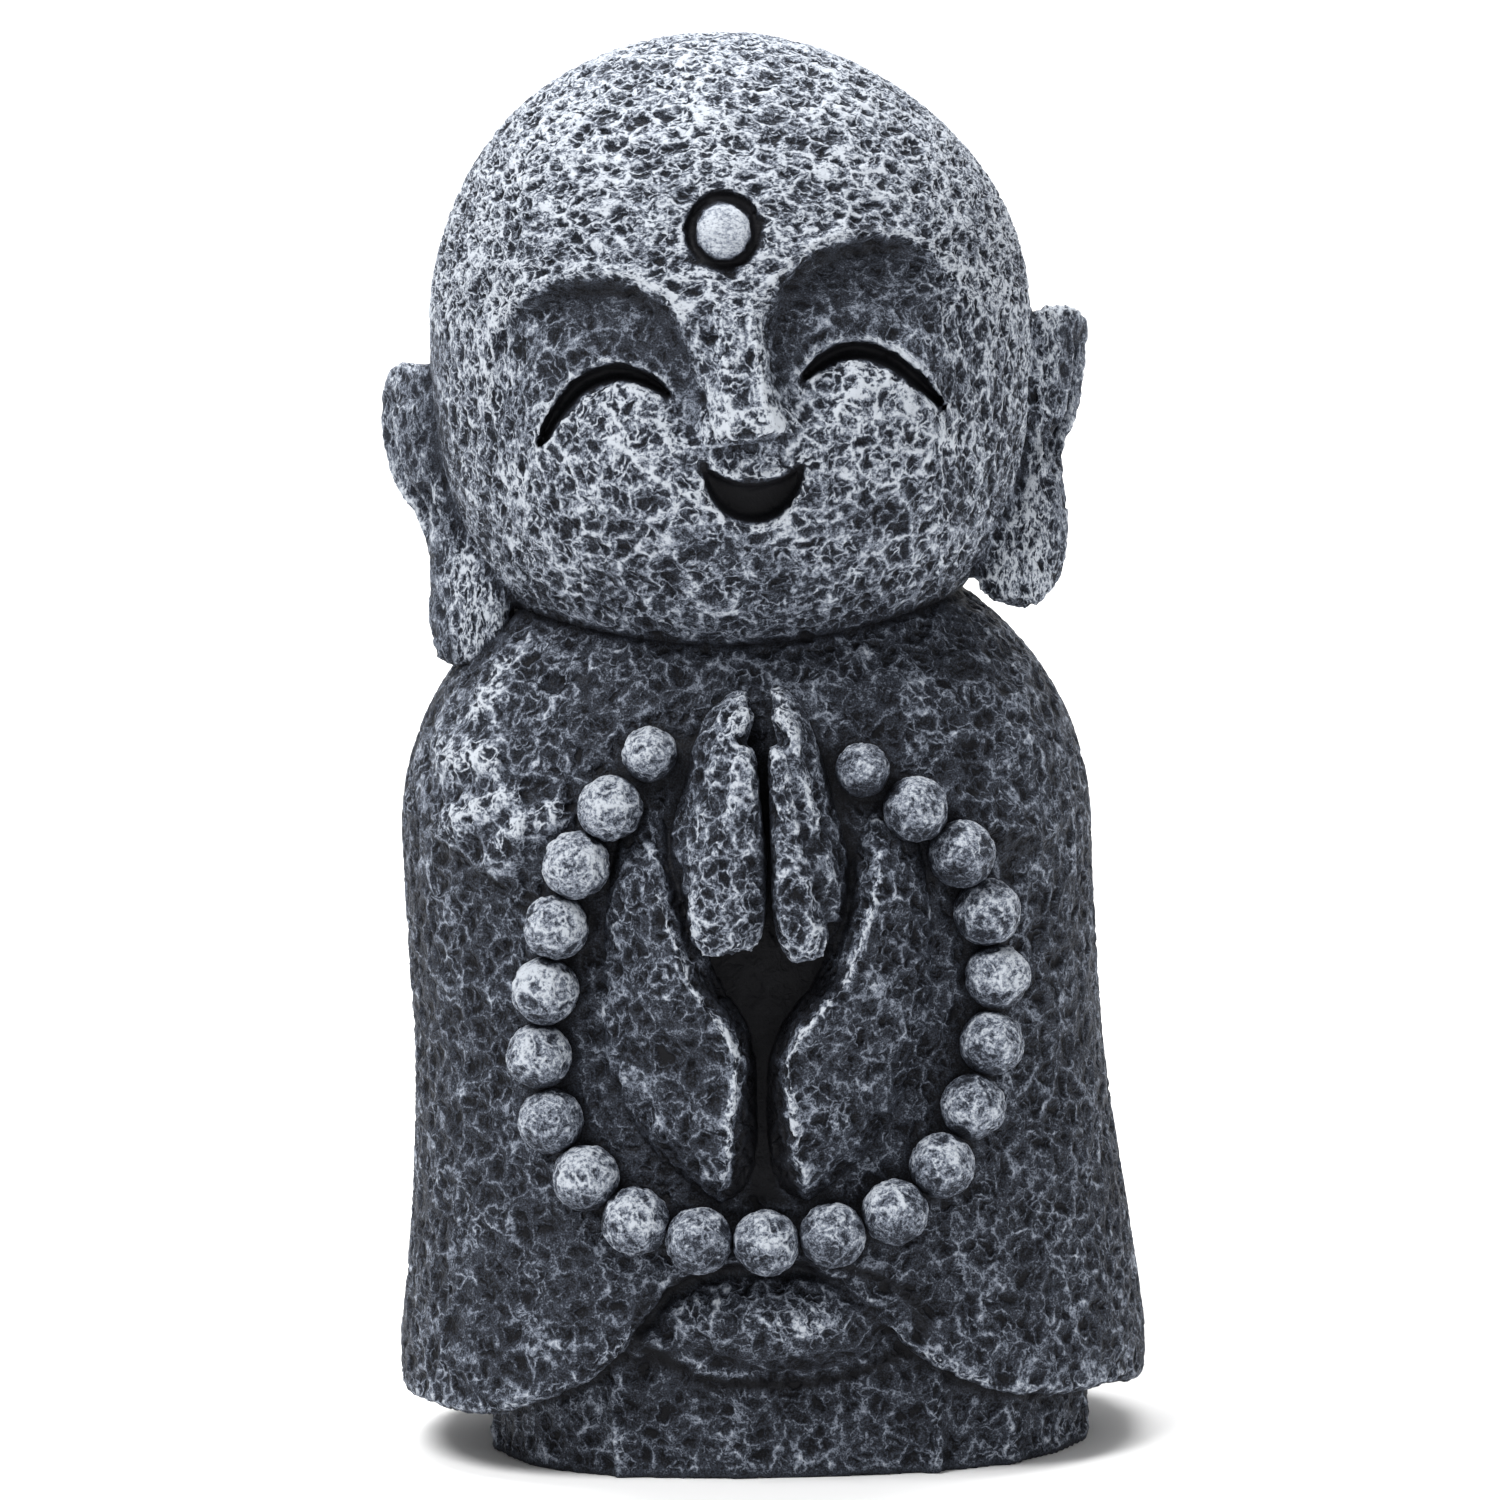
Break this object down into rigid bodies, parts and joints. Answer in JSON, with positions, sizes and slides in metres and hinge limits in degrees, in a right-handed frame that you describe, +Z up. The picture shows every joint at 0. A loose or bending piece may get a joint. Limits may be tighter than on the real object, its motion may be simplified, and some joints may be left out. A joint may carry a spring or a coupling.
{
  "type": "stone jizo statue",
  "caption": "Small standing child-monk figure in a long robe, eyes closed and smiling, palms together inside a loop of prayer beads, on a low flat-bottomed skirt base.",
  "frame": {"origin": "on the underside, under the middle of the whole figure", "axes": "+Z up, +X to the viewer's right, the face and hands towards -Y"},
  "size_m": [0.0788, 0.065, 0.15],
  "materials": {
    "cast_stone": "pitted dark stone casting with pale blue-grey dry brushing on its raised surface, matt"
  },
  "bodies": {
    "root": {"jizo_statue": "cast_stone"}
  },
  "joints": []
}
